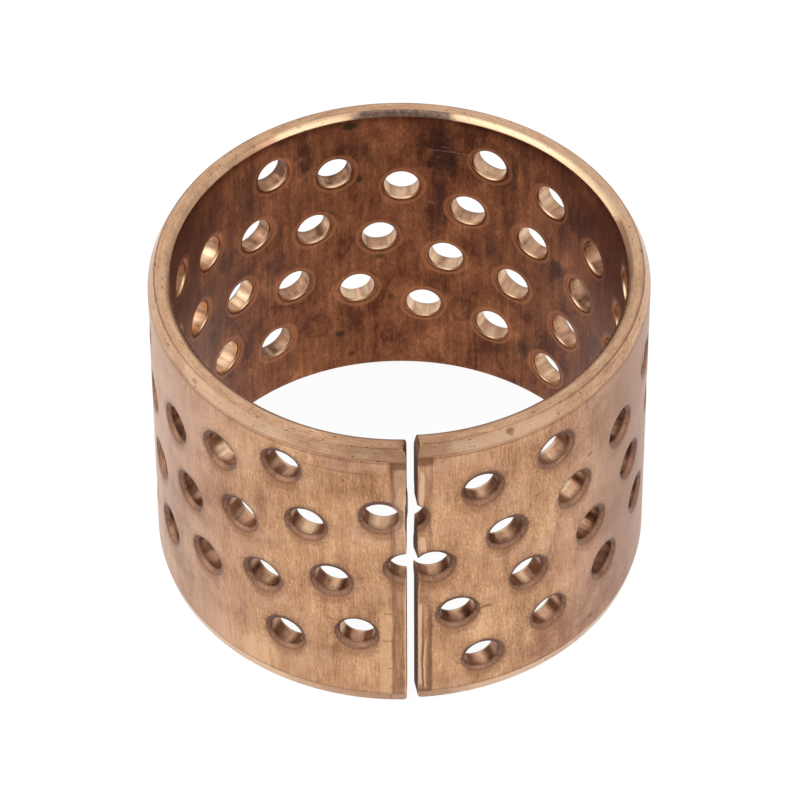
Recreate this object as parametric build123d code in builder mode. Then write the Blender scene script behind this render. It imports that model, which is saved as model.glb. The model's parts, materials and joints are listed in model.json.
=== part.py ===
"""A split bushing rolled from a bronze strip that is punched all over with grease holes.

Millimetres. The origin is the centre of the bore at the bottom face, +Z runs up the bore, and
the open seam faces -Y. Angles round the bushing are counted from the seam, first towards +X.
"""
import os
from math import atan, cos, degrees, pi, radians, sin

from build123d import *

# The rolled wall
bore_diameter = 50.0
wall = 2.5
length = 40.0

# The outer edges slope in, more at the top than at the bottom: the depth is taken off the
# wall's thickness, over the height
top_slope_depth = 0.7
top_slope_height = 1.5
bottom_slope_depth = 0.3
bottom_slope_height = 1.3
bore_chamfer = 0.5

# The seam: two ends that face each other across a gap that widens outwards
seam_gap_at_bore = 0.75
seam_gap_at_outside = 1.35
seam_corner_radius = 0.5

# The punching, measured on the flat strip: columns of holes that lean, in a nearly square
# pattern that stands askew on the strip
hole_diameter = 4.0
first_hole_along = 7.54
first_hole_height = 32.45
column_along = 8.01
column_rise = 2.86
row_along = 2.7
row_drop = 7.91
hole_margin = 5.2

# The strip was punched six columns at a stroke: each new stroke left a gap and landed low
columns_a_stroke = 6
stroke_gap = 0.62
stroke_drop = 1.385

# Worked out from the sizes above
bore_radius = bore_diameter / 2
outer_radius = bore_radius + wall
neutral_radius = bore_radius + wall / 2
strip_length = 2 * pi * neutral_radius
seam_half_angle = degrees(seam_gap_at_outside / 2 / outer_radius)

# A cut runs this far past the surfaces it opens
beyond = wall


def hole_places():
    """Each hole's angle from the seam in degrees, and its height, where the strip has room."""
    places = []
    columns = int(strip_length / column_along)
    rows = int((length + columns * column_rise) / row_drop) + 1
    for column in range(-1, columns + 1):
        strokes = (column - 1) // columns_a_stroke + 1
        for row in range(rows + 1):
            along = first_hole_along + column * column_along + row * row_along
            along += strokes * stroke_gap
            height = first_hole_height + column * column_rise - row * row_drop
            height -= strokes * stroke_drop
            on_strip = -hole_diameter / 4 < along < strip_length
            clear_of_edges = hole_margin <= height <= length - hole_margin
            if on_strip and clear_of_edges:
                places.append((degrees(along / neutral_radius), height))
    return places


def hole_plane(angle, height):
    """Where a hole's cut starts inside the bore: the plane faces out, its x along the strip."""
    turn = radians(angle)
    start = bore_radius - beyond
    return Plane(
        origin=(start * sin(turn), -start * cos(turn), height),
        x_dir=(cos(turn), sin(turn), 0),
        z_dir=(sin(turn), -cos(turn), 0),
    )


with BuildPart() as split_bushing:
    # The wall, with its sloping outer edges and its chamfered bore
    with BuildSketch(Plane.XZ):
        with BuildLine():
            Polyline(
                (bore_radius, bore_chamfer),
                (bore_radius + bore_chamfer, 0),
                (outer_radius - bottom_slope_depth, 0),
                (outer_radius, bottom_slope_height),
                (outer_radius, length - top_slope_height),
                (outer_radius - top_slope_depth, length),
                (bore_radius + bore_chamfer, length),
                (bore_radius, length - bore_chamfer),
                close=True,
            )
        make_face()
    revolve(axis=Axis.Z)

    # The grease holes, straight through the wall. Where a hole's centre falls in the seam, the
    # end of the strip next to it has only half of the hole.
    for angle, height in hole_places():
        with BuildSketch(hole_plane(angle, height)):
            Circle(hole_diameter / 2)
            if angle < seam_half_angle:
                Rectangle(
                    hole_diameter, hole_diameter, align=(Align.MIN, Align.CENTER), mode=Mode.INTERSECT
                )
            elif angle > 360 - seam_half_angle:
                Rectangle(
                    hole_diameter, hole_diameter, align=(Align.MAX, Align.CENTER), mode=Mode.INTERSECT
                )
    extrude(amount=wall + 2 * beyond, mode=Mode.SUBTRACT)

    # The seam, cut from outside so that it narrows inwards, with rounded corners at both ends
    half_gap = seam_gap_at_outside / 2
    seam_taper = degrees(atan((seam_gap_at_outside - seam_gap_at_bore) / 2 / wall))
    with BuildSketch(Plane.XZ.offset(outer_radius)):
        with BuildLine():
            for side in (-1, 1):
                corner = side * (half_gap + seam_corner_radius)
                Polyline((0, -beyond), (corner, -beyond), (corner, 0))
                RadiusArc((corner, 0), (side * half_gap, seam_corner_radius), side * seam_corner_radius)
                Line(
                    (side * half_gap, seam_corner_radius),
                    (side * half_gap, length - seam_corner_radius),
                )
                RadiusArc(
                    (side * half_gap, length - seam_corner_radius),
                    (corner, length),
                    side * seam_corner_radius,
                )
                Polyline((corner, length), (corner, length + beyond), (0, length + beyond))
        make_face()
    extrude(amount=-(wall + seam_gap_at_bore), taper=seam_taper, mode=Mode.SUBTRACT)

split_bushing.part.label = "split_bushing"

os.makedirs("parts", exist_ok=True)
export_step(split_bushing.part, "parts/split_bushing.step")
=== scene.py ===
"""The look of a split bushing rolled from bronze strip punched all over with grease holes.

Sizes are in millimetres until the mesh is made in metres, in the CAD frame: +Z runs up the bore
and the seam faces -Y. The wall is worked out as a flat strip: along is the distance along its
middle from the seam, first towards +X, and height is the distance up from the bottom edge.
"""
import json
from math import ceil, cos, pi, radians, sin

import bpy
import numpy as np
from mathutils import Matrix, Vector
from mathutils.geometry import delaunay_2d_cdt


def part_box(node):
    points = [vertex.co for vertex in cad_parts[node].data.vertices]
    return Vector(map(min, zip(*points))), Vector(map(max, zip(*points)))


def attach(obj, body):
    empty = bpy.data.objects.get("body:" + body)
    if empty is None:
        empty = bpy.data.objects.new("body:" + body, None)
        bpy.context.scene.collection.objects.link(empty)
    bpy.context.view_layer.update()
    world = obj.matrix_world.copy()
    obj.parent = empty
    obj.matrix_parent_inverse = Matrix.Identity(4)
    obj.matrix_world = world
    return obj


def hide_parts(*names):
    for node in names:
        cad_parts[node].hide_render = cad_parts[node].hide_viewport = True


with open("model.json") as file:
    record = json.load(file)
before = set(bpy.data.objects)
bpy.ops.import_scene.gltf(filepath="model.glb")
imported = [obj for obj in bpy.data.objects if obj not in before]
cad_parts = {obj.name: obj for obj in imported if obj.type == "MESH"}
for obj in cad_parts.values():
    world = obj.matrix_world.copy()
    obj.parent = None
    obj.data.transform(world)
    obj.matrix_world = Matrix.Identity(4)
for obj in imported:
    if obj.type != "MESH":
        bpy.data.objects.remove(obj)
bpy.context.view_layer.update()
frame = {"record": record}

MM = 0.001
NODE = "split_bushing"

# The rolled wall, as the CAD part has it
_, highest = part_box(NODE)
mounts = {mount["name"]: mount for mount in frame["record"]["mounts"]}
OUTER_RADIUS = mounts["outside"]["dims"]["r_mm"]
BORE_RADIUS = mounts["bore"]["dims"]["r_mm"]
WALL = OUTER_RADIUS - BORE_RADIUS
MIDDLE_RADIUS = (OUTER_RADIUS + BORE_RADIUS) / 2
LENGTH = highest.z / MM
STRIP_LENGTH = 2 * pi * MIDDLE_RADIUS

# The edges slope in outside and are chamfered in the bore, with rounded creases and corners
TOP_SLOPE_DEPTH = 0.7
TOP_SLOPE_HEIGHT = 1.5
TOP_SLOPE_FOOT = LENGTH - TOP_SLOPE_HEIGHT
BOTTOM_SLOPE_DEPTH = 0.3
BOTTOM_SLOPE_HEIGHT = 1.3
BORE_CHAMFER = 0.5
CREASE_WIDTH = 0.1
EDGE_ROUNDING = 0.12

# The seam: the strip starts on its +X side and finishes on its -X side. Outside, the finish's
# face spreads less than the start's by FINISH_TURN, and the start is drawn back at the top.
SEAM_GAP_AT_BORE = 0.75
SEAM_GAP_OUTSIDE = 1.35
SEAM_GAP_MIDDLE = (SEAM_GAP_AT_BORE + SEAM_GAP_OUTSIDE) / 2
SEAM_REACH = 3.0
START = SEAM_GAP_MIDDLE / 2
FINISH = STRIP_LENGTH - SEAM_GAP_MIDDLE / 2
TOP_START_CORNER = 0.4
TOP_FINISH_CORNER = 1.0
BOTTOM_CORNER = 0.5
FINISH_TURN = 0.12
START_TAPER = 0.3
START_TAPER_HEIGHT = 1.8

# The punching
HOLE_RADIUS = 2.0
FIRST_HOLE_ALONG = 7.54
FIRST_HOLE_HEIGHT = 32.45
COLUMN_ALONG = 8.01
COLUMN_RISE = 2.86
ROW_ALONG = 2.7
ROW_DROP = 7.91
HOLE_MARGIN = 5.2
COLUMNS_A_STROKE = 6
STROKE_ALONG = 0.62
STROKE_DROP = 1.385

# The rims of the holes are wider on some sides: waves a turn, and the share that each adds
RIM_WAVE_SHARES = ((1, 0.14), (2, 0.09), (4, 0.04), (7, 0.03))

# Outside they are bevelled, deeper below the hole, and in the bore each has a lip and is pressed in
BEVEL_WIDTH = 0.58
SHALLOWEST_BEVEL = 0.28
DEEPEST_BEVEL = 0.5
DEEPER_BELOW = 0.3
LIP_WIDTH = 0.3
LIP_DEPTH = 0.26
PRESSED_WIDTH = 0.66
PRESSED_DEPTH = 0.07

# The sides of a hole stay straight this far beyond its edge, and follow the wall at twice that
STRAIGHT_REACH = 0.9

# How dark the walls of the holes are by chance, at most
CHANCE_SHADE = 0.3

# Stretches of the strip where the walls of the holes are darker: from, to, and how much
DARK_HOLES = (
    (-1.0, 11.0, 0.35),
    (11.0, 22.0, 0.3),
    (23.0, 33.0, 0.6),
    (90.5, 100.5, 0.3),
    (132.0, 142.0, 0.5),
    (146.0, 165.0, 0.3),
)

# Single holes that are darker than those around them: along, height, and how much
ODD_HOLES = (
    (97.1, 34.8, 0.5),
    (88.1, 31.5, 0.5),
    (95.9, 7.6, 0.3),
    (57.0, 21.6, 0.6),
    (53.1, 29.6, 0.45),
)

# The strip was rolled a little askew, so its two ends don't line up
SKEW_BOTTOM = 0.155
SKEW_TOP = 0.32
SKEW_REACH = 4.0

# How finely the strip is divided: the steps between its plain points, and those of round lines
COLUMN_STEP = 0.9
ROW_STEP = 1.0
CORNER_STEPS = 8
HOLE_SIDES = 36

# How clear the plain points stay of corners and creases, and of rims, as a share of their width
CORNER_CLEAR = 1.1
CREASE_CLEAR = 0.3
RIM_CLEAR = 1.4

# Points this near to each other are one, and an edge this near to a hole's edge is part of it
SAME_PLACE = 1e-6
ON_EDGE = 0.01

# The lines round each hole, counted out from its edge, those just inside the outline, and the
# layers of the wall, from 0 outside to 1 in the bore
RIM_RINGS = (0.0, 0.02, 0.06, 0.13, 0.22, 0.34, 0.48, 0.68)
EDGE_LINES = (0.0, 0.03, 0.07, EDGE_ROUNDING)
WALL_LAYERS = (0.0, 0.04, 0.35, 0.65, 0.96, 1.0)

# The numbers of the finishes on the mesh
TURNED, ROLLED, IN_BORE, PUNCHED, SHEARED = range(5)


def smooth_step(value, low, high):
    """0 below low, 1 above high, and a smooth rise between."""
    share = np.clip((value - low) / (high - low), 0.0, 1.0)
    return share * share * (3 - 2 * share)


# The flat strip


def punched_holes():
    """The centres of the holes on the flat strip, as rows of along and height."""
    centres = []
    columns = int(STRIP_LENGTH / COLUMN_ALONG)
    rows = int((LENGTH + columns * COLUMN_RISE) / ROW_DROP) + 1
    for column in range(-1, columns + 1):
        strokes = (column - 1) // COLUMNS_A_STROKE + 1
        for row in range(rows + 1):
            along = FIRST_HOLE_ALONG + column * COLUMN_ALONG + row * ROW_ALONG
            along += strokes * STROKE_ALONG
            height = FIRST_HOLE_HEIGHT + column * COLUMN_RISE - row * ROW_DROP
            height -= strokes * STROKE_DROP
            on_strip = -HOLE_RADIUS / 2 < along < STRIP_LENGTH
            if on_strip and HOLE_MARGIN <= height <= LENGTH - HOLE_MARGIN:
                centres.append((along, height))
    return np.array(centres)


HOLES = punched_holes()
SEED = 7
chance = np.random.default_rng(SEED)
RIM_WAVES = chance.uniform(0.0, 2 * pi, (len(HOLES), len(RIM_WAVE_SHARES)))
HOLE_SHADE = chance.uniform(0.0, CHANCE_SHADE, len(HOLES))
BEVEL_DEPTH = chance.uniform(SHALLOWEST_BEVEL, DEEPEST_BEVEL, len(HOLES))
for first_along, last_along, darkness in DARK_HOLES:
    HOLE_SHADE[(HOLES[:, 0] > first_along) & (HOLES[:, 0] < last_along)] += darkness
for hole_along, hole_height, darkness in ODD_HOLES:
    nearest = np.hypot(HOLES[:, 0] - hole_along, HOLES[:, 1] - hole_height).argmin()
    HOLE_SHADE[nearest] += darkness


def edge_distance(along, height):
    """How far inside the strip's outline a place is, with the outline's corners rounded."""
    to_end = np.minimum(along - START, FINISH - along)
    to_edge = np.minimum(height, LENGTH - height)
    near_start = along < STRIP_LENGTH / 2
    top_corner = np.where(near_start, TOP_START_CORNER, TOP_FINISH_CORNER)
    corner = np.where(height > LENGTH / 2, top_corner, BOTTOM_CORNER)
    inside = np.minimum(to_end, to_edge)
    round_corner = corner - np.hypot(corner - to_end, corner - to_edge)
    return np.where((to_end < corner) & (to_edge < corner), round_corner, inside)


def nearest_hole(along, height):
    """For each place: its nearest hole's number, and how far it is along and up from the centre."""
    aside = along[:, None] - HOLES[None, :, 0]
    up = height[:, None] - HOLES[None, :, 1]
    number = np.argmin(aside * aside + up * up, axis=1)
    each = np.arange(len(along))
    return number, aside[each, number], up[each, number]


def rim_spread(number, turn):
    """How wide a hole's rim is at this turn round it, where 1 is plain."""
    spread = 1.0
    for (waves, share), offset in zip(RIM_WAVE_SHARES, RIM_WAVES[number].T):
        spread = spread + share * np.sin(waves * turn + offset)
    return spread


def rim_distance(number, aside, up):
    """How far out from a hole's edge a place is, counted in rims that are wider on some sides."""
    return (np.hypot(aside, up) - HOLE_RADIUS) / rim_spread(number, np.arctan2(up, aside))


def crease(beyond):
    """beyond where it is over 0, and 0 below that, with a rounded change between."""
    rounded = (beyond + CREASE_WIDTH) ** 2 / (4 * CREASE_WIDTH)
    return np.where(beyond > CREASE_WIDTH, beyond, np.where(beyond > -CREASE_WIDTH, rounded, 0.0))


def rounded_lip(distance, width, depth):
    """How deep a lip lies that falls off in a quarter round towards distance 0."""
    left = np.clip(1 - distance / width, 0.0, 1.0)
    return depth * (1 - np.sqrt(1 - left * left))


def outside_depth(along, height):
    """How far the outside lies below the outer radius."""
    number, aside, up = nearest_hole(along, height)
    rim = rim_distance(number, aside, up)
    below = -up / np.hypot(aside, up)
    depth = TOP_SLOPE_DEPTH / TOP_SLOPE_HEIGHT * crease(height - TOP_SLOPE_FOOT)
    depth += BOTTOM_SLOPE_DEPTH / BOTTOM_SLOPE_HEIGHT * crease(BOTTOM_SLOPE_HEIGHT - height)
    depth += rounded_lip(edge_distance(along, height), EDGE_ROUNDING, EDGE_ROUNDING)
    bevel = np.clip(1 - rim / BEVEL_WIDTH, 0.0, 1.0) ** 1.5
    depth += BEVEL_DEPTH[number] * (1 + DEEPER_BELOW * below) * bevel
    return depth


def bore_depth(along, height):
    """How far the bore's surface lies outside the bore radius."""
    rim = rim_distance(*nearest_hole(along, height))
    depth = crease(height - LENGTH + BORE_CHAMFER) + crease(BORE_CHAMFER - height)
    depth += rounded_lip(edge_distance(along, height), EDGE_ROUNDING, EDGE_ROUNDING)
    depth += rounded_lip(rim, LIP_WIDTH, LIP_DEPTH)
    depth += PRESSED_DEPTH * np.clip(1 - rim / PRESSED_WIDTH, 0.0, 1.0) ** 2
    return depth


def outline(inset, columns, rows):
    """The line this far inside the strip's outline: how far along and how high its points are."""
    alongs = []
    heights = []
    for corner_along, corner_height, radius, first_turn in (
        (FINISH, 0.0, BOTTOM_CORNER, -90),
        (FINISH, LENGTH, TOP_FINISH_CORNER, 0),
        (START, LENGTH, TOP_START_CORNER, 90),
        (START, 0.0, BOTTOM_CORNER, 180),
    ):
        inwards_along = 1 if corner_along == START else -1
        inwards_height = 1 if corner_height == 0 else -1
        for step in range(CORNER_STEPS + 1):
            turn = radians(first_turn + 90 / CORNER_STEPS * step)
            alongs.append(corner_along + inwards_along * radius + (radius - inset) * cos(turn))
            heights.append(corner_height + inwards_height * radius + (radius - inset) * sin(turn))

        # The straight stretch from this corner to the next
        if first_turn in (0, 180):
            between = [a for a in columns if START + CORNER_CLEAR < a < FINISH - CORNER_CLEAR]
            alongs.extend(between[::-1] if first_turn == 0 else between)
            heights.extend([corner_height + inwards_height * inset] * len(between))
        else:
            between = [h for h in rows if CORNER_CLEAR < h < LENGTH - CORNER_CLEAR]
            alongs.extend([corner_along + inwards_along * inset] * len(between))
            heights.extend(between if first_turn == -90 else between[::-1])
    return alongs, heights


def flat_strip():
    """The flat strip cut into triangles: its points, and the triangles outside every hole."""
    points = []
    lines = []

    def add_line(along, height, closed=False):
        """Points joined in a row, or in a ring, that the triangles keep to."""
        first = len(points)
        points.extend(zip(along, height))
        last = len(points) - 1
        lines.extend((i, i + 1) for i in range(first, last))
        if closed:
            lines.append((last, first))

    # The outline, and lines just inside it where its edges are rounded
    columns = np.linspace(START, FINISH, ceil((FINISH - START) / COLUMN_STEP) + 1)
    rows = np.linspace(0.0, LENGTH, ceil(LENGTH / ROW_STEP) + 1)
    for inset in EDGE_LINES:
        add_line(*outline(inset, columns, rows), closed=True)

    # The creases of the slopes and chamfers
    for level in (BORE_CHAMFER, BOTTOM_SLOPE_HEIGHT, TOP_SLOPE_FOOT, LENGTH - BORE_CHAMFER):
        for beside in (-CREASE_WIDTH, 0.0, CREASE_WIDTH):
            add_line(columns, [level + beside] * len(columns))

    # The rims of the holes
    turn = np.linspace(0.0, 2 * pi, HOLE_SIDES, endpoint=False)
    for number, (along, height) in enumerate(HOLES):
        for ring in RIM_RINGS:
            reach = HOLE_RADIUS + ring * rim_spread(number, turn)
            add_line(along + reach * np.cos(turn), height + reach * np.sin(turn), closed=True)

    # The plain wall between them
    for along in columns:
        for height in rows:
            to_hole = np.hypot(HOLES[:, 0] - along, HOLES[:, 1] - height).min()
            clear_of_rims = to_hole > HOLE_RADIUS + RIM_CLEAR * RIM_RINGS[-1]
            above_slope = height > BOTTOM_SLOPE_HEIGHT + CREASE_CLEAR
            below_slope = height < TOP_SLOPE_FOOT - CREASE_CLEAR
            if clear_of_rims and above_slope and below_slope:
                points.append((along, height))

    flat, _, faces, *_ = delaunay_2d_cdt(
        [Vector(p) for p in points], lines, [], 0, SAME_PLACE, True
    )
    flat = np.array([(p.x, p.y) for p in flat])
    faces = np.array([list(f) for f in faces])
    along, height = flat[faces].mean(axis=1).T
    _, aside, up = nearest_hole(along, height)
    outside_holes = np.hypot(aside, up) > HOLE_RADIUS * cos(pi / HOLE_SIDES)
    on_strip = edge_distance(along, height) > 0
    used, faces = np.unique(faces[outside_holes & on_strip], return_inverse=True)
    return flat[used], faces.reshape(-1, 3)


# Rolling the strip


def seam_shift(radius):
    """How far a seam's face lies from where the flat strip would end, as an angle."""
    widening = (SEAM_GAP_OUTSIDE - SEAM_GAP_AT_BORE) * (radius - BORE_RADIUS) / WALL
    half_gap = (SEAM_GAP_AT_BORE + widening) / 2
    return np.arcsin(half_gap / radius) - START / MIDDLE_RADIUS


def rolled(along, height, depth, outside):
    """Where places on the strip come to lie once it is rolled, as rows of x, y and z."""
    radius = OUTER_RADIUS - depth if outside else BORE_RADIUS + depth
    face_radius = OUTER_RADIUS if outside else BORE_RADIUS
    angle = along / MIDDLE_RADIUS

    # A hole keeps straight sides through the wall
    number, aside, up = nearest_hole(along, height)
    straight = HOLES[number, 0] / MIDDLE_RADIUS + np.arcsin(aside / radius)
    beyond_edge = np.hypot(aside, up) - HOLE_RADIUS
    held = 1 - smooth_step(beyond_edge, STRAIGHT_REACH, 2 * STRAIGHT_REACH)
    angle = angle + held * (straight - angle)

    # The seam's two faces spread outwards
    shift = seam_shift(face_radius)
    shift += START_TAPER * smooth_step(height, LENGTH - START_TAPER_HEIGHT, LENGTH) / MIDDLE_RADIUS
    angle = angle + shift * (1 - smooth_step(along - START, 0.0, SEAM_REACH))
    shift = seam_shift(radius) - FINISH_TURN * (radius - BORE_RADIUS) / WALL / MIDDLE_RADIUS
    angle = angle - shift * (1 - smooth_step(FINISH - along, 0.0, SEAM_REACH))

    # The ends don't line up: the bottom edge rests on the floor at one end only
    skew = 1 - angle / pi
    near_bottom = 1 - smooth_step(height, BOTTOM_SLOPE_HEIGHT, BOTTOM_SLOPE_HEIGHT + SKEW_REACH)
    near_top = smooth_step(height, TOP_SLOPE_FOOT - SKEW_REACH, TOP_SLOPE_FOOT)
    level = height + SKEW_BOTTOM + skew * (SKEW_BOTTOM * near_bottom + SKEW_TOP * near_top)
    return np.stack([radius * np.sin(angle), -radius * np.cos(angle), level], axis=1)


def free_edges(faces, point_count):
    """The edges that have a face on one side only: those of the outline and of the holes."""
    edges = np.concatenate([faces[:, [0, 1]], faces[:, [1, 2]], faces[:, [2, 0]]])
    key = edges.min(axis=1) * point_count + edges.max(axis=1)
    _, first, count = np.unique(key, return_index=True, return_counts=True)
    return edges[first[count == 1]]


def wall_layers(flat, rims):
    """The mesh's points, their places on the strip, and the layers they make up. The first layer
    is the outside and the last the bore, and those between have only the points on the rims. A
    layer gives each point of the flat strip its number on the mesh."""
    along, height = flat.T
    outside = rolled(along, height, outside_depth(along, height), True)
    bore = rolled(along, height, bore_depth(along, height), False)
    points = []
    strip = []
    layers = []
    made = 0
    for share in WALL_LAYERS:
        here = np.arange(len(flat)) if share in (0.0, 1.0) else np.unique(rims)
        points.append(outside[here] * (1 - share) + bore[here] * share)
        strip.append(np.column_stack([flat[here], np.full(len(here), share)]))
        numbers = np.zeros(len(flat), int)
        numbers[here] = made + np.arange(len(here))
        layers.append(numbers)
        made += len(here)
    return np.concatenate(points) * MM, np.concatenate(strip), layers


def face_finishes(flat, faces, rims):
    """The finish of each face: of those outside, in the bore, and from each layer to the next."""
    height = flat[faces, 1].mean(axis=1)
    on_slope = (height > TOP_SLOPE_FOOT) | (height < BOTTOM_SLOPE_HEIGHT)
    on_chamfer = (height > LENGTH - BORE_CHAMFER) | (height < BORE_CHAMFER)
    outside = np.where(on_slope, TURNED, ROLLED)
    bore = np.where(on_chamfer, TURNED, IN_BORE)

    # The walls between: in the holes, along the edges with their corners, and at the seam
    along, height = flat[rims].mean(axis=1).T
    _, aside, up = nearest_hole(along, height)
    in_hole = np.hypot(aside, up) < HOLE_RADIUS + ON_EDGE
    edge_reach = np.where(along > STRIP_LENGTH / 2, TOP_FINISH_CORNER, BOTTOM_CORNER)
    at_edge = np.minimum(height, LENGTH - height) < edge_reach
    walls = np.where(in_hole, PUNCHED, np.where(at_edge, TURNED, SHEARED))
    return np.concatenate([outside, bore] + [walls] * (len(WALL_LAYERS) - 1))


def keep_places(mesh, strip):
    """Keep on the mesh what its finishes go by: each point's place on the strip, and how far it
    is from the nearest hole's edge and from the seam."""
    along, height, _ = strip.T
    number, aside, up = nearest_hole(along, height)
    for name, values in (
        ("rim", rim_distance(number, aside, up)),
        ("below_hole", -up / np.hypot(aside, up)),
        ("hole_shade", HOLE_SHADE[number]),
        ("seam", np.minimum(along - START, FINISH - along)),
    ):
        made = mesh.attributes.new(name, "FLOAT", "POINT")
        made.data.foreach_set("value", values.astype(np.float32))
    made = mesh.attributes.new("strip", "FLOAT_VECTOR", "POINT")
    made.data.foreach_set("vector", strip.astype(np.float32).ravel())


def make_bushing(finishes):
    """The rolled strip as one closed mesh: outside, bore, and the walls of its holes and edges."""
    flat, faces = flat_strip()
    rims = free_edges(faces, len(flat))
    points, strip, layers = wall_layers(flat, rims)
    polygons = faces.tolist() + layers[-1][faces[:, ::-1]].tolist()
    first, second = rims.T
    for outer, inner in zip(layers[:-1], layers[1:]):
        sides = np.column_stack([outer[second], outer[first], inner[first], inner[second]])
        polygons += sides.tolist()

    mesh = bpy.data.meshes.new("bushing_wall")
    mesh.from_pydata(points.tolist(), [], polygons)
    worn = face_finishes(flat, faces, rims)
    mesh.polygons.foreach_set("material_index", worn.astype(np.int32))
    mesh.polygons.foreach_set("use_smooth", np.ones(len(polygons), bool))
    keep_places(mesh, strip)
    for finish in finishes:
        mesh.materials.append(finish)
    mesh.update()
    bushing = bpy.data.objects.new("rolled_bushing", mesh)
    bpy.context.scene.collection.objects.link(bushing)
    return bushing


# Materials


class Shade:
    """A number that varies over a surface: sums on it add the nodes that work them out."""

    def __init__(self, finish, socket):
        self.finish = finish
        self.socket = socket

    def worked(self, operation, first, second):
        """What this operation makes of the two."""
        made = self.finish.node("ShaderNodeMath", {"operation": operation}, {0: first, 1: second})
        return Shade(self.finish, made.outputs[0])

    def __add__(self, other):
        return self.worked("ADD", self, other)

    __radd__ = __add__

    def __sub__(self, other):
        return self.worked("SUBTRACT", self, other)

    def __rsub__(self, other):
        return self.worked("SUBTRACT", other, self)

    def __mul__(self, other):
        return self.worked("MULTIPLY", self, other)

    def __truediv__(self, other):
        return self.worked("DIVIDE", self, other)

    def __pow__(self, other):
        return self.worked("POWER", self, other)


# The numbers of a mix node's sockets for colours
MIX_FIRST = 6
MIX_SECOND = 7
MIX_RESULT = 2


class Shading:
    """The nodes of a material or of the world, in the making."""

    def __init__(self, tree):
        self.tree = tree

    def node(self, kind, settings, inputs):
        """A node of this kind: its settings come first, then the values or links of its inputs."""
        made = self.tree.nodes.new(kind)
        for name, value in settings.items():
            setattr(made, name, value)
        for name, value in inputs.items():
            self.feed(made.inputs[name], value)
        return made

    def feed(self, socket, value):
        """Set an input to a value, or link it to what varies."""
        if isinstance(value, Shade):
            value = value.socket
        if isinstance(value, bpy.types.NodeSocket):
            self.tree.links.new(value, socket)
        else:
            socket.default_value = value

    def rise(self, value, low, high):
        """0 where value is below low, 1 where it is above high, and smooth between."""
        made = self.node(
            "ShaderNodeMapRange",
            {"interpolation_type": "SMOOTHSTEP"},
            {"Value": value, "From Min": low, "From Max": high},
        )
        return Shade(self, made.outputs[0])

    def mixed(self, share, first, second):
        """The colour that goes from first to second as share goes from 0 to 1."""
        made = self.node(
            "ShaderNodeMix",
            {"data_type": "RGBA"},
            {"Factor": share, MIX_FIRST: first, MIX_SECOND: second},
        )
        return made.outputs[MIX_RESULT]


# How far embossed patches are slid to shade them, and the half width of a scratch and the radius
# of a pressed ring, in millimetres
EMBOSS_SLIDE = (0.28, 0.06)
SCRATCH_HALF_WIDTH = 0.05
GHOST_RADIUS = 1.9


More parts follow.
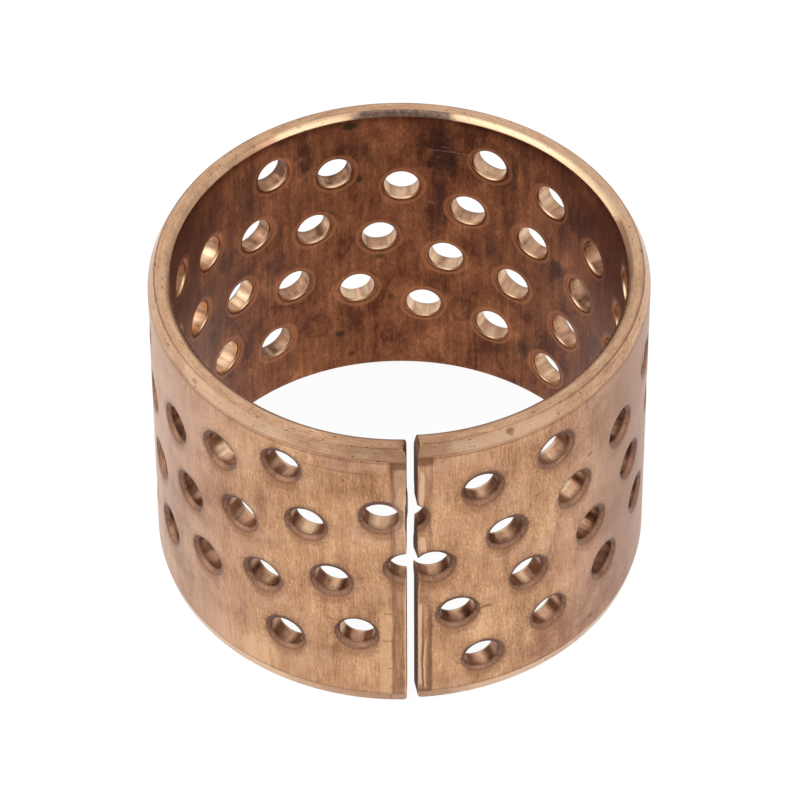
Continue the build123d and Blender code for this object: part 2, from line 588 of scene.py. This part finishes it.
class Finish(Shading):
    """A bronze finish in the making."""

    def __init__(self, name):
        self.material = bpy.data.materials.new(name)
        self.material.use_nodes = True
        super().__init__(self.material.node_tree)
        self.surface = self.tree.nodes["Principled BSDF"]
        self.surface.inputs["Metallic"].default_value = 1.0
        place = self.node("ShaderNodeAttribute", {"attribute_name": "strip"}, {})
        self.strip = place.outputs["Vector"]
        apart = self.node("ShaderNodeSeparateXYZ", {}, {0: self.strip})
        self.along, self.height, self.through = (Shade(self, o) for o in apart.outputs)

    def kept(self, name):
        """A number that the mesh keeps at each of its points."""
        made = self.node("ShaderNodeAttribute", {"attribute_name": name}, {})
        return Shade(self, made.outputs["Fac"])

    def mottle(self, size, detail, roughness, offset, slide=(0.0, 0.0)):
        """Uneven patches, from 0 to 1 and 0.5 on average. size is theirs in millimetres: along
        the strip, up it and through it. Another offset gives other patches, and slide moves them
        back and down by parts of their size."""
        along, height, through = size
        where = self.node(
            "ShaderNodeVectorMath",
            {"operation": "MULTIPLY_ADD"},
            {
                0: self.strip,
                1: (1 / along, 1 / height, WALL / through),
                2: (offset + slide[0], offset * 0.7 + slide[1], offset * 1.3),
            },
        )
        made = self.node(
            "ShaderNodeTexNoise",
            {"noise_dimensions": "3D"},
            {"Vector": where.outputs[0], "Scale": 1.0, "Detail": detail, "Roughness": roughness},
        )
        return Shade(self, made.outputs["Fac"])

    def embossed(self, size, detail, roughness, offset):
        """The light and shade on such patches if they stood out and were lit from one side."""
        slid = self.mottle(size, detail, roughness, offset, EMBOSS_SLIDE)
        return self.mottle(size, detail, roughness, offset) - slid

    def band(self, value, low, high, blur):
        """1 where value lies between low and high, with soft edges."""
        past_high = self.rise(value, high - blur, high + blur)
        return self.rise(value, low - blur, low + blur) * (1 - past_high)

    def reach(self, along, height, half_along, half_height):
        """How far a place is from the middle of a mark: 1 at the end of its half sizes."""
        aside = (self.along - along) / half_along
        up = (self.height - height) / half_height
        return (aside * aside + up * up) ** 0.5

    def stains(self, marks, wobble):
        """0 on clean metal, and in each mark up to its darkness, with uneven outlines."""
        share = 0.0
        for along, height, half_along, half_height, darkness in marks:
            reach = self.reach(along, height, half_along, half_height) + wobble
            share = (1 - self.rise(reach, 0.4, 1.2)) * darkness + share
        return share

    def patches(self, places):
        """0 in most places, and the lightness that each of these places adds in its middle."""
        added = 0.0
        for along, height, half_along, half_height, lightness in places:
            reach = self.reach(along, height, half_along, half_height)
            added = (1 - self.rise(reach, 0.2, 1.2)) * lightness + added
        return added

    def scratch(self, first_along, first_height, last_along, last_height):
        """1 on a thin straight scratch."""
        slope = (last_height - first_height) / (last_along - first_along)
        off = self.height - first_height - (self.along - first_along) * slope
        beside = self.band(off, -SCRATCH_HALF_WIDTH, SCRATCH_HALF_WIDTH, SCRATCH_HALF_WIDTH)
        return beside * self.band(self.along, first_along, last_along, 0.2)

    def ghost(self, along, height, wobble):
        """1 on a faint ring that a hole of another strip pressed into the metal."""
        reach = self.reach(along, height, GHOST_RADIUS, GHOST_RADIUS)
        return self.band(reach + wobble * 0.3, 0.8, 1.0, 0.15)

    def toned(self, tone, dark, middle, light):
        """The colour that goes from dark through middle to light as tone goes from 0 to 1."""
        lower = self.mixed(self.rise(tone, 0.05, 0.55), dark, middle)
        return self.mixed(self.rise(tone, 0.45, 0.95), lower, light)

    def done(self, colour, roughness, relief, relief_depth):
        """The material with this colour and roughness, and relief this many millimetres deep."""
        self.feed(self.surface.inputs["Base Color"], colour)
        self.feed(self.surface.inputs["Roughness"], roughness)
        bump = self.node(
            "ShaderNodeBump", {}, {"Height": relief, "Distance": relief_depth * MM, "Strength": 1.0}
        )
        self.feed(self.surface.inputs["Normal"], bump.outputs[0])
        return self.material


def srgb(red, green, blue):
    """A colour given as a screen shows it, from 0 to 255, as the shader takes it."""
    parts = []
    for part in (red, green, blue):
        share = part / 255
        parts.append(share / 12.92 if share <= 0.04045 else ((share + 0.055) / 1.055) ** 2.4)
    return (*parts, 1.0)


# Outside
BROWN_BRONZE = srgb(150, 104, 74)
TAN_BRONZE = srgb(191, 144, 106)
PALE_BRONZE = srgb(224, 180, 138)
PINK_BRONZE = srgb(192, 154, 136)
BLUSH_BRONZE = srgb(208, 164, 138)
RIM_DARK = srgb(92, 62, 50)
RIM_PINK = srgb(156, 116, 94)
SEAM_BROWN = srgb(116, 74, 50)
SEAM_PINK = srgb(222, 184, 154)

# Bore
BORE_DARK = srgb(86, 45, 29)
BORE_WARM = srgb(104, 46, 20)
BORE_RED = srgb(132, 80, 52)
BORE_ORANGE = srgb(178, 116, 78)
BORE_BLACK = srgb(54, 32, 32)
BORE_OLIVE = srgb(60, 46, 26)

# Edges, holes and the strip's ends
TURNED_DARK = srgb(146, 106, 80)
TURNED_BRONZE = srgb(198, 157, 124)
TURNED_PALE = srgb(226, 190, 158)
CHAMFER_PALE = srgb(220, 190, 154)
CHAMFER_GREY = srgb(98, 78, 70)
PUNCHED_DARK = srgb(118, 82, 64)
PUNCHED_BRONZE = srgb(196, 152, 122)
PUNCHED_PALE = srgb(240, 206, 168)
SHEARED_BROWN = srgb(104, 76, 62)

# Larger places that are lighter or darker: along, height, half width, half height and how much
OUTSIDE_PATCHES = (
    (158.5, 35.0, 8.0, 5.0, -0.32),
    (148.0, 2.5, 8.5, 5.0, 0.26),
    (17.5, 5.0, 8.0, 7.0, -0.36),
    (6.5, 14.5, 4.0, 8.0, 0.24),
    (27.0, 24.0, 10.0, 40.0, -0.28),
    (136.0, 20.0, 10.0, 40.0, -0.14),
)
BORE_PATCHES = (
    (97.0, 7.5, 11.0, 10.0, -0.2),
    (81.0, 8.5, 9.0, 7.5, -0.14),
    (102.0, 34.0, 10.0, 10.0, 0.16),
    (56.5, 24.0, 6.0, 15.0, 0.14),
)

# Marks on the bore: along, height, half width, half height and darkness
BORE_STAINS = (
    (92.7, 35.4, 1.2, 3.4, 0.8),
    (85.2, 34.2, 0.8, 1.8, 0.7),
    (75.8, 34.0, 2.1, 3.6, 0.95),
    (67.3, 33.6, 0.9, 3.2, 0.6),
    (76.6, 26.0, 1.3, 5.5, 0.5),
    (69.9, 21.5, 0.9, 2.2, 0.6),
    (60.4, 23.0, 1.3, 1.6, 0.85),
    (65.3, 6.9, 1.0, 1.9, 0.75),
    (97.2, 19.8, 1.9, 2.4, 0.6),
    (104.0, 25.6, 2.2, 1.8, 0.5),
    (72.3, 9.8, 1.6, 1.6, 0.4),
    (101.0, 33.0, 1.4, 4.0, 0.4),
    (56.0, 32.0, 2.5, 3.0, 0.4),
    (107.0, 15.0, 2.0, 5.0, 0.35),
)
OLIVE_STAINS = (
    (87.1, 38.6, 1.1, 0.7, 1.0),
    (86.1, 30.2, 0.5, 0.7, 0.9),
    (83.7, 17.8, 0.6, 0.6, 0.7),
    (88.6, 6.0, 0.7, 0.6, 0.9),
    (87.2, 2.5, 0.5, 0.5, 0.8),
    (82.2, 11.2, 0.5, 0.7, 0.5),
)
BORE_GHOSTS = ((91.6, 8.2), (73.4, 10.2))
BORE_SCRATCHES = (
    (72.5, 34.75, 77.6, 34.6),
    (75.5, 35.2, 76.2, 35.25),
    (76.3, 33.6, 76.8, 33.7),
    (77.0, 26.3, 77.7, 26.6),
)

# Marks on the outside
OUTSIDE_STAINS = (
    (8.1, 13.8, 0.7, 0.25, 0.7),
    (23.9, 9.2, 0.8, 2.2, 0.6),
    (21.9, 3.0, 0.5, 0.5, 0.7),
    (21.0, 29.8, 0.5, 0.4, 0.6),
    (24.3, 35.2, 0.4, 0.4, 0.5),
    (13.9, 28.6, 0.9, 0.14, 0.5),
    (156.8, 12.5, 1.2, 0.12, 0.6),
    (156.8, 36.3, 4.0, 0.2, 0.4),
    (10.2, 21.0, 0.6, 4.0, 0.35),
)
OUTSIDE_GHOST = (25.4, 5.9)

# Where the flanks pinker with painted reflection begin and end, and the right one's painted shade
FLANKS_BEGIN = (14.0, 28.0)
FLANKS_END = (136.0, 150.0)
DARKER_FLANK = (24.0, 46.0)

# The bore gets lighter along the first of these, and it is warmer outside the second
BORE_LIGHTER = (70.0, 84.0)
BORE_BACK = (53.0, 112.0)

# Marks on the top edge: along, height, half width, half height and darkness
EDGE_STAINS = (
    (10.6, 39.5, 0.6, 0.4, 0.7),
    (139.0, 39.2, 0.5, 0.3, 0.5),
)

# Its stretches with a painted highlight: from, to, and True on the slope or False on the flat face
HIGHLIGHT_STRETCHES = (
    (5.0, 16.0, True),
    (40.0, 78.0, False),
    (138.0, 152.0, True),
)

# Stretches of the bore's chamfer: with painted shade and how dark, the scored, and the clean,
# partly painted highlight
PAINTED_SHADE_STRETCHES = ((38.0, 48.5, 0.75), (96.5, 104.0, 0.45))
SCORED_CHAMFER = (75.2, 86.2)
CLEAN_CHAMFER = (49.0, 96.5)

# Beside the seam, how near and far from each end of the strip its marks lie
START_STRIP = (0.15, 1.55)
START_BORDER = (1.1, 1.55)
START_LINE = (0.44, 0.64)
FINISH_STRIP = (0.25, 1.45)
FINISH_BORDER = (1.1, 1.6)
FINISH_SCRAPE = (1.5, 2.75)

# Between which heights the marks low down fade out, and those high up fade in
LOW_MARKS_END = (13.0, 16.0)
HIGH_MARKS_BEGIN = (17.0, 27.0)

# The slivers' lowest and highest places, and how near and far from the start they lie, and the
# nicks' heights and how far they reach
SEAM_SLIVERS = (
    (31.2, 36.4, 0.2, 0.75),
    (24.0, 26.6, 0.2, 0.85),
    (2.4, 15.8, -0.1, 0.42),
    (2.0, 9.8, 0.7, 0.86),
)
SEAM_NICKS = ((14.3, 2.4), (9.9, 2.5), (5.4, 2.0), (2.4, 1.8))


def seam_wear(finish, colour):
    """The two strips beside the seam, where shearing dragged the metal: brown lines and scrapes."""
    drift = (finish.mottle((0.8, 3.6, 1.0), 2.0, 0.5, 61.0) - 0.5) * 0.45
    drift = drift + (finish.mottle((0.3, 0.9, 1.0), 2.0, 0.6, 93.0) - 0.5) * 0.14
    dragged = finish.rise(finish.mottle((0.14, 5.0, 1.0), 2.0, 0.6, 87.0), 0.38, 0.62)
    from_start = finish.along - START + drift
    from_finish = FINISH - finish.along + drift * 0.6
    low = 1 - finish.rise(finish.height, *LOW_MARKS_END)

    # The end at the left: a brown strip with a darker border, and a scrape with nicks beside it
    high = finish.rise(finish.height, *HIGH_MARKS_BEGIN)
    strip = finish.band(from_finish, *FINISH_STRIP, 0.1)
    colour = finish.mixed(strip * (0.25 - high * 0.2 + dragged * 0.25), colour, SEAM_BROWN)
    colour = finish.mixed(strip * high * 0.3, colour, SEAM_PINK)
    under_slope = finish.rise(finish.height, TOP_SLOPE_FOOT - 6.5, TOP_SLOPE_FOOT - 1.0)
    nearer = from_finish - under_slope * 0.15
    border = finish.band(nearer, *FINISH_BORDER, 0.18 + under_slope * 0.12)
    share = 0.25 + dragged * 0.25 + high * 0.15 + under_slope * 0.3
    colour = finish.mixed(border * share, colour, SEAM_BROWN)
    colour = finish.mixed((1 - finish.rise(from_finish, 0.1, 0.3)) * 0.5, colour, SEAM_PINK)
    scrape = finish.band(from_finish, *FINISH_SCRAPE, 0.08) * low
    colour = finish.mixed(scrape * 0.4, colour, PALE_BRONZE)
    for height, farthest in SEAM_NICKS:
        nick = finish.band(finish.height + drift * 0.5, height - 0.09, height + 0.09, 0.07)
        nick = nick * finish.band(from_finish, FINISH_STRIP[1], farthest, 0.06)
        colour = finish.mixed(nick * 0.6, colour, SEAM_BROWN)

    # The end at the right: pink slivers, and brown lines that are strongest low down
    strip = finish.band(from_start, *START_STRIP, 0.1)
    colour = finish.mixed(strip * (0.1 + dragged * 0.3), colour, SEAM_BROWN)
    border = finish.band(from_start, *START_BORDER, 0.12)
    colour = finish.mixed(border * (0.1 + low * 0.6), colour, SEAM_BROWN)
    line = finish.band(from_start, *START_LINE, 0.06)
    colour = finish.mixed(line * low * 0.55, colour, SEAM_BROWN)
    for lowest_place, highest_place, nearest, farthest in SEAM_SLIVERS:
        sliver = finish.band(from_start, nearest, farthest, 0.05)
        here = finish.band(finish.height + drift * 3, lowest_place, highest_place, 0.4)
        colour = finish.mixed(sliver * here * 0.8, colour, SEAM_PINK)

    # Both ends are dark in the corner under the slope, and the start is at its bottom too
    corner = 1 - finish.rise(finish.kept("seam") + drift * 2, 1.3, 2.1)
    corner = corner * finish.rise(finish.height + drift, TOP_SLOPE_FOOT - 1.5, TOP_SLOPE_FOOT - 0.9)
    colour = finish.mixed(corner * 0.8, colour, SEAM_BROWN)
    corner = (1 - finish.rise(from_start, 1.0, 1.8)) * (1 - finish.rise(finish.height, 1.5, 2.2))
    return finish.mixed(corner * 0.6, colour, SEAM_BROWN)


def rolled_finish():
    """The outside: tan bronze with a peel texture, upright grain, brown rims and an oil film."""
    finish = Finish("rolled_bronze")
    finish.surface.inputs["Coat Weight"].default_value = 0.12
    finish.surface.inputs["Coat Roughness"].default_value = 0.2
    rim = finish.kept("rim")
    below = finish.kept("below_hole")
    grain = finish.mottle((0.2, 2.6, 1.0), 2.0, 0.6, 3.0)
    # The peel texture is painted light and shade, as if its relief were lit from one side
    peel = finish.embossed((0.26, 0.46, 1.0), 3.0, 0.65, 11.0)
    streak = finish.mottle((1.6, 12.0, 1.0), 2.0, 0.6, 53.0)
    blotch = finish.mottle((3.4, 4.4, 1.0), 3.0, 0.6, 23.0)
    cloud = finish.mottle((12.0, 9.0, 1.0), 2.0, 0.5, 31.0)
    blush = finish.mottle((5.0, 3.6, 1.0), 3.0, 0.6, 83.0)
    ragged = finish.mottle((0.5, 0.5, 1.0), 3.0, 0.7, 41.0) - 0.5

    near_holes = 1 - finish.rise(rim, 0.8, 2.6)
    peeled = finish.rise(blotch + near_holes * 0.15, 0.45, 0.6)
    tone = 0.51 + (grain - 0.5) * (0.9 - peeled * 0.4) + peel * (0.5 + peeled * 1.0)
    tone = tone + (streak - 0.5) * 0.8 + (blotch - 0.5) * 0.8 + (cloud - 0.5) * 0.8
    tone = tone + ragged * 0.6 + finish.patches(OUTSIDE_PATCHES)
    colour = finish.toned(tone, BROWN_BRONZE, TAN_BRONZE, PALE_BRONZE)

    # Painted reflection makes the flanks and back pinker than the front; painted shade the right
    # flank a little darker
    flank = finish.rise(finish.along, *FLANKS_BEGIN)
    flank = flank * (1 - finish.rise(finish.along, *FLANKS_END))
    # Painted reflection: the flanks pinker in patches
    pink = flank * finish.rise(blotch * 0.5 + cloud * 0.5, 0.3, 0.7)
    colour = finish.mixed(pink * 0.75, colour, PINK_BRONZE)
    colour = finish.mixed(finish.rise(blush, 0.5, 0.68) * 0.4, colour, BLUSH_BRONZE)
    # Painted shade: the right flank darker
    darkened = finish.band(finish.along, *DARKER_FLANK, 4.0)
    colour = finish.mixed(darkened * 0.6, colour, BROWN_BRONZE)

    # A brown stain round the holes, longer below them, and the bevelled rim with painted light and
    # shade
    drip = rim + ragged * 1.8 - finish.rise(below, 0.5, 1.0) * 0.7
    colour = finish.mixed((1 - finish.rise(drip, 0.3, 1.4)) * 0.6, colour, BROWN_BRONZE)
    uneven = rim + ragged * 0.45
    ring = 1 - finish.rise(uneven, 0.38, 0.66)
    # Painted light and shade on the rim: lighter below the hole and darker above it, with uneven
    # patches
    lit = finish.rise(below * 0.6 + peel * 2.5 + ragged * 2.0 + blotch, 0.0, 1.3)
    colour = finish.mixed(ring * 0.85, colour, finish.mixed(lit, RIM_DARK, RIM_PINK))
    # A dark line at the bevel's outer edge, partly painted shadow
    dark_line = finish.band(uneven, 0.44, 0.62, 0.1)
    dark_line = dark_line * finish.rise(ragged - below * 0.05, -0.2, 0.1)
    colour = finish.mixed(dark_line * 0.65, colour, RIM_DARK)
    # Painted shadow at the hole's edge
    colour = finish.mixed((1 - finish.rise(rim, 0.0, 0.16)) * 0.45, colour, RIM_DARK)

    colour = seam_wear(finish, colour)
    marks = finish.stains(OUTSIDE_STAINS, ragged)
    colour = finish.mixed(marks, colour, SEAM_BROWN)
    colour = finish.mixed(finish.ghost(*OUTSIDE_GHOST, ragged) * 0.35, colour, RIM_DARK)
    under_slope = finish.band(finish.height, TOP_SLOPE_FOOT - 0.35, TOP_SLOPE_FOOT - 0.1, 0.12)
    colour = finish.mixed(under_slope * 0.5, colour, SEAM_BROWN)
    above_slope = finish.height + ragged * 0.2 - BOTTOM_SLOPE_HEIGHT
    colour = finish.mixed(finish.band(above_slope, 0.05, 0.25, 0.08) * 0.4, colour, SEAM_BROWN)

    roughness = 0.36 + blotch * 0.14 + ring * 0.1
    return finish.done(colour, roughness, ragged, 0.04)


def bore_finish():
    """The bore: red-brown, streaked upright, stained, with a pressed ring round each hole."""
    finish = Finish("bore_bronze")
    rim = finish.kept("rim")
    below = finish.kept("below_hole")
    fine = finish.mottle((0.24, 0.6, 1.0), 3.0, 0.7, 13.0)
    streak = finish.mottle((0.8, 9.0, 1.0), 3.0, 0.65, 5.0)
    blotch = finish.mottle((3.2, 4.0, 1.0), 3.0, 0.6, 29.0)
    cloud = finish.mottle((7.0, 14.0, 1.0), 2.0, 0.5, 67.0)
    film = finish.rise(finish.mottle((2.4, 5.0, 1.0), 3.0, 0.6, 97.0), 0.5, 0.54)
    wobble = (finish.mottle((1.3, 1.6, 1.0), 3.0, 0.65, 43.0) - 0.5) * 2.2

    tone = 0.43 + (fine - 0.5) * 0.8 + (streak - 0.5) * 0.75 + (blotch - 0.5) * 0.9
    tone = tone + (cloud - 0.5) * 0.9 + wobble * 0.1 + film * 0.12
    tone = tone + finish.patches(BORE_PATCHES)
    tone = tone - (1 - finish.rise(finish.along, *BORE_LIGHTER)) * 0.12
    colour = finish.toned(tone, BORE_DARK, BORE_RED, BORE_ORANGE)
    top_shade = finish.rise(finish.height, LENGTH - 2.2, LENGTH - 0.8)
    colour = finish.mixed(top_shade * 0.35, colour, BORE_DARK)
    near_front = 1 - finish.band(finish.along, *BORE_BACK, 6.0)
    colour = finish.mixed(near_front * 0.4, colour, BORE_WARM)
    colour = finish.mixed(finish.stains(BORE_STAINS, wobble) * 0.85, colour, BORE_BLACK)
    colour = finish.mixed(finish.stains(OLIVE_STAINS, wobble * 0.5), colour, BORE_OLIVE)
    for place in BORE_GHOSTS:
        colour = finish.mixed(finish.ghost(*place, wobble) * 0.45, colour, BORE_DARK)
    for scratch in BORE_SCRATCHES:
        colour = finish.mixed(finish.scratch(*scratch) * 0.35, colour, PINK_BRONZE)

    # Round each hole a pressed ring and a lip, and a painted highlight on the lip's edge below the
    # hole
    ring = finish.band(rim + wobble * 0.05, 0.36, 0.76, 0.16)
    lip = 1 - finish.rise(rim, 0.16, 0.3)
    # Painted highlight on the edge below each hole
    edge = (1 - finish.rise(rim, 0.08, 0.22)) * finish.rise(below, 0.1, 0.8)
    colour = finish.mixed(ring * 0.45, colour, BORE_ORANGE)
    colour = finish.mixed(lip * 0.5, colour, BORE_ORANGE)
    colour = finish.mixed(edge * 0.9, colour, PUNCHED_PALE)

    relief = fine * 0.6 + ring * 0.3
    roughness = 0.32 + blotch * 0.2
    return finish.done(colour, roughness, relief, 0.03)


def turned_finish():
    """The end faces, slopes and chamfers: paler, with fine turning marks, pits and brown dirt."""
    finish = Finish("turned_bronze")
    marks = finish.mottle((9.0, 0.13, 0.13), 2.0, 0.6, 7.0)
    fine = finish.mottle((0.5, 0.4, 0.4), 3.0, 0.65, 47.0)
    blotch = finish.mottle((2.6, 1.6, 1.6), 3.0, 0.6, 37.0)
    pit = finish.rise(finish.mottle((0.65, 0.45, 0.45), 1.0, 0.5, 17.0), 0.67, 0.74) * 0.7
    tone = 0.5 + (marks - 0.5) * 0.7 + (fine - 0.5) * 0.7 + (blotch - 0.5) * 0.8
    darkened = 1 - finish.rise(finish.kept("seam") + (blotch - 0.5) * 6, 1.0, 11.0)
    colour = finish.toned(tone, TURNED_DARK, TURNED_BRONZE, TURNED_PALE)
    colour = finish.mixed(darkened * 0.5, colour, TURNED_DARK)
    on_flat = finish.rise(finish.height, LENGTH - 0.2, LENGTH)
    along = finish.along + (blotch - 0.5) * 4
    # Painted highlights: paler stretches of the slope and of the flat face
    for first_along, last_along, on_slope in HIGHLIGHT_STRETCHES:
        here = finish.band(along, first_along, last_along, 1.5)
        here = here * (1 - on_flat) * 0.5 if on_slope else here * on_flat * 0.35
        colour = finish.mixed(here, colour, TURNED_PALE)
    colour = finish.mixed(pit, colour, RIM_DARK)
    colour = finish.mixed(finish.stains(EDGE_STAINS, blotch * 0.6 - 0.3), colour, SEAM_BROWN)

    # The bore's chamfer is grey and scored at the back, clean and paler elsewhere, partly a painted
    # highlight
    in_bore = finish.rise(finish.through, 0.9, 0.99)
    scored = finish.band(along, *SCORED_CHAMFER, 0.8)
    clean = finish.band(along, *CLEAN_CHAMFER, 1.2)
    at_front = 1 - finish.rise(finish.kept("seam"), 30.0, 44.0)
    # Partly painted highlight: the clean stretch paler
    colour = finish.mixed(in_bore * clean * 0.6, colour, CHAMFER_PALE)
    colour = finish.mixed(in_bore * at_front * 0.6, colour, TURNED_DARK)
    # Painted shade on stretches of the chamfer
    for first_along, last_along, painted_darkness in PAINTED_SHADE_STRETCHES:
        here = in_bore * finish.band(along, first_along, last_along, 1.0)
        colour = finish.mixed(here * painted_darkness, colour, TURNED_DARK)
    colour = finish.mixed(in_bore * scored * (1.25 - fine * 0.7), colour, CHAMFER_GREY)

    # Darker brown lies in the slope's lower crease, and along its upper edge as painted shade over
    # its highlight
    creased = finish.band(finish.height, TOP_SLOPE_FOOT, TOP_SLOPE_FOOT + 0.16, 0.08)
    creased = creased * (1 - in_bore)
    # Painted shade along the top edge, damping the highlight of its rounding
    edge = finish.rise(finish.height, LENGTH - 0.16, LENGTH - 0.1)
    edge = edge * (1 - finish.rise(finish.through, 0.0, 0.03))
    colour = finish.mixed(creased * 0.4 + edge * 0.5, colour, SEAM_BROWN)

    relief = marks * 0.5 - pit
    roughness = 0.22 + blotch * 0.12 + darkened * 0.08
    return finish.done(colour, roughness, relief, 0.02)


def punched_finish():
    """The walls of the holes: smooth facets where the punch went through, some of them dark."""
    finish = Finish("punched_bronze")
    facet = finish.mottle((1.2, 1.2, 9.0), 1.0, 0.4, 9.0)
    scores = finish.mottle((0.3, 0.3, 2.0), 2.0, 0.5, 21.0)
    shade = finish.kept("hole_shade")
    rough = finish.mottle((1.0, 1.0, 1.2), 2.0, 0.5, 57.0)
    # The facets' lighter and darker tone is partly painted light; they are also raised as bumps
    tone = 0.69 + (facet - 0.5) * 1.2 + (scores - 0.5) * 0.5 - shade * 0.5
    tone = tone + (rough - 0.5) * (0.15 + shade * 0.5)
    colour = finish.toned(tone, PUNCHED_DARK, PUNCHED_BRONZE, PUNCHED_PALE)
    # Painted shade on the wall near the outside, deeper in the darker holes
    near_outside = 1 - finish.rise(finish.through, 0.0, 0.5)
    colour = finish.mixed(near_outside * (0.1 + shade * 0.6), colour, RIM_DARK)
    # Painted highlight on the wall's edge at the bore
    near_bore = finish.rise(finish.through, 0.85, 1.0)
    colour = finish.mixed(near_bore * 0.5, colour, PUNCHED_PALE)
    return finish.done(colour, 0.24 + shade * 0.35, facet, 0.1)


def sheared_finish():
    """The two ends of the strip that face each other across the seam."""
    finish = Finish("sheared_bronze")
    finish.surface.inputs["Metallic"].default_value = 0.0
    finish.surface.inputs["Specular IOR Level"].default_value = 0.1
    tear = finish.mottle((1.0, 0.25, 0.8), 3.0, 0.6, 19.0)
    colour = finish.mixed(finish.rise(tear, 0.35, 0.7) * 0.4, SHEARED_BROWN, BROWN_BRONZE)
    return finish.done(colour, 0.6 + tear * 0.1, tear, 0.03)


# The finishes in the order of their numbers on the mesh
finishes = [turned_finish(), rolled_finish(), bore_finish(), punched_finish(), sheared_finish()]
bushing = make_bushing(finishes)
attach(bushing, "root")
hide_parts(NODE)


# The studio

WHITE = (1.0, 1.0, 1.0, 1.0)
FLOOR_GREY = (0.1, 0.1, 0.1, 1.0)
FLOOR_HALF = 4000
FLOOR_GLOW = 0.93

# The room's even light, and its windows: the way to each, its half angle at full strength and
# where it ends, and how much light it adds or takes away
ROOM_LIGHT = 0.78
ROOM_WINDOWS = (
    ((-0.62, -0.35, 0.7), 12, 30, 1.6),
    ((-0.92, 0.15, 0.35), 12, 28, 0.9),
    ((0.56, -0.53, 0.64), 12, 28, 1.4),
    ((-0.6, 0.35, 0.72), 10, 28, -0.4),
    ((0.0, -0.7, 0.71), 8, 22, -0.15),
)
SOFTBOX_PLACE = (-200, 150, 900)
SOFTBOX_SIZE = 1200
SOFTBOX_POWER = 3


def make_floor():
    """A plain white floor that shows no edge."""
    corners = [(-1, -1), (1, -1), (1, 1), (-1, 1)]
    mesh = bpy.data.meshes.new("studio_floor")
    points = [(x * FLOOR_HALF * MM, y * FLOOR_HALF * MM, 0.0) for x, y in corners]
    mesh.from_pydata(points, [], [(0, 1, 2, 3)])
    white = bpy.data.materials.new("floor_white")
    white.use_nodes = True
    shader = white.node_tree.nodes["Principled BSDF"]
    shader.inputs["Base Color"].default_value = FLOOR_GREY
    shader.inputs["Emission Color"].default_value = WHITE
    shader.inputs["Emission Strength"].default_value = FLOOR_GLOW
    shader.inputs["Roughness"].default_value = 0.9
    shader.inputs["Specular IOR Level"].default_value = 0.0
    mesh.materials.append(white)
    floor = bpy.data.objects.new("studio_floor", mesh)
    bpy.context.scene.collection.objects.link(floor)
    return floor


def add_softbox():
    """A square soft light high above that faces the bushing's middle."""
    light = bpy.data.lights.new("overhead_softbox", "AREA")
    light.size = SOFTBOX_SIZE * MM
    light.energy = SOFTBOX_POWER
    lamp = bpy.data.objects.new("overhead_softbox", light)
    lamp.location = Vector(SOFTBOX_PLACE) * MM
    towards = Vector((0, 0, LENGTH / 2 * MM)) - lamp.location
    lamp.rotation_mode = "QUATERNION"
    lamp.rotation_quaternion = towards.to_track_quat("-Z", "Y")
    bpy.context.scene.collection.objects.link(lamp)


def make_studio():
    """The light of an even pale room, with windows that are brighter or duller than the rest."""
    world = bpy.data.worlds.new("studio")
    world.use_nodes = True
    shading = Shading(world.node_tree)
    towards = shading.node("ShaderNodeTexCoord", {}, {}).outputs["Generated"]
    light = ROOM_LIGHT
    for direction, narrow, wide, strength in ROOM_WINDOWS:
        facing = shading.node(
            "ShaderNodeVectorMath",
            {"operation": "DOT_PRODUCT"},
            {0: towards, 1: Vector(direction).normalized()},
        )
        share = shading.rise(facing.outputs["Value"], cos(radians(wide)), cos(radians(narrow)))
        light = share * strength + light
    backdrop = world.node_tree.nodes["Background"]
    shading.feed(backdrop.inputs["Strength"], light)
    backdrop.inputs["Color"].default_value = WHITE
    bpy.context.scene.world = world


make_floor()
make_studio()
add_softbox()
bpy.context.scene.view_settings.view_transform = "Standard"

# The camera, as the photograph was taken
CAMERA_AZIMUTH = radians(-2.54)
CAMERA_ELEVATION = radians(45.685)
CAMERA_ROLL = radians(-0.235)
CAMERA_DISTANCE = 636.3
CAMERA_LENS = 256.35
CAMERA_SENSOR = 36.0
AIM_ASIDE = 0.052
AIM_HEIGHT = 19.72


def add_camera():
    """A long lens that looks down on the seam."""
    turn, rise = CAMERA_AZIMUTH, CAMERA_ELEVATION
    back = Vector((sin(turn) * cos(rise), -cos(turn) * cos(rise), sin(rise)))
    level_right = Vector((cos(turn), sin(turn), 0.0))
    level_up = back.cross(level_right)
    right = cos(CAMERA_ROLL) * level_right + sin(CAMERA_ROLL) * level_up
    up = back.cross(right)
    aim = level_right * AIM_ASIDE + Vector((0.0, 0.0, AIM_HEIGHT))
    lens = bpy.data.cameras.new("camera")
    lens.sensor_width = CAMERA_SENSOR
    lens.lens = CAMERA_LENS
    camera = bpy.data.objects.new("camera", lens)
    turned = Matrix((right, up, back)).transposed().to_4x4()
    camera.matrix_world = Matrix.Translation((aim + back * CAMERA_DISTANCE) * MM) @ turned
    bpy.context.scene.collection.objects.link(camera)
    bpy.context.scene.camera = camera


add_camera()
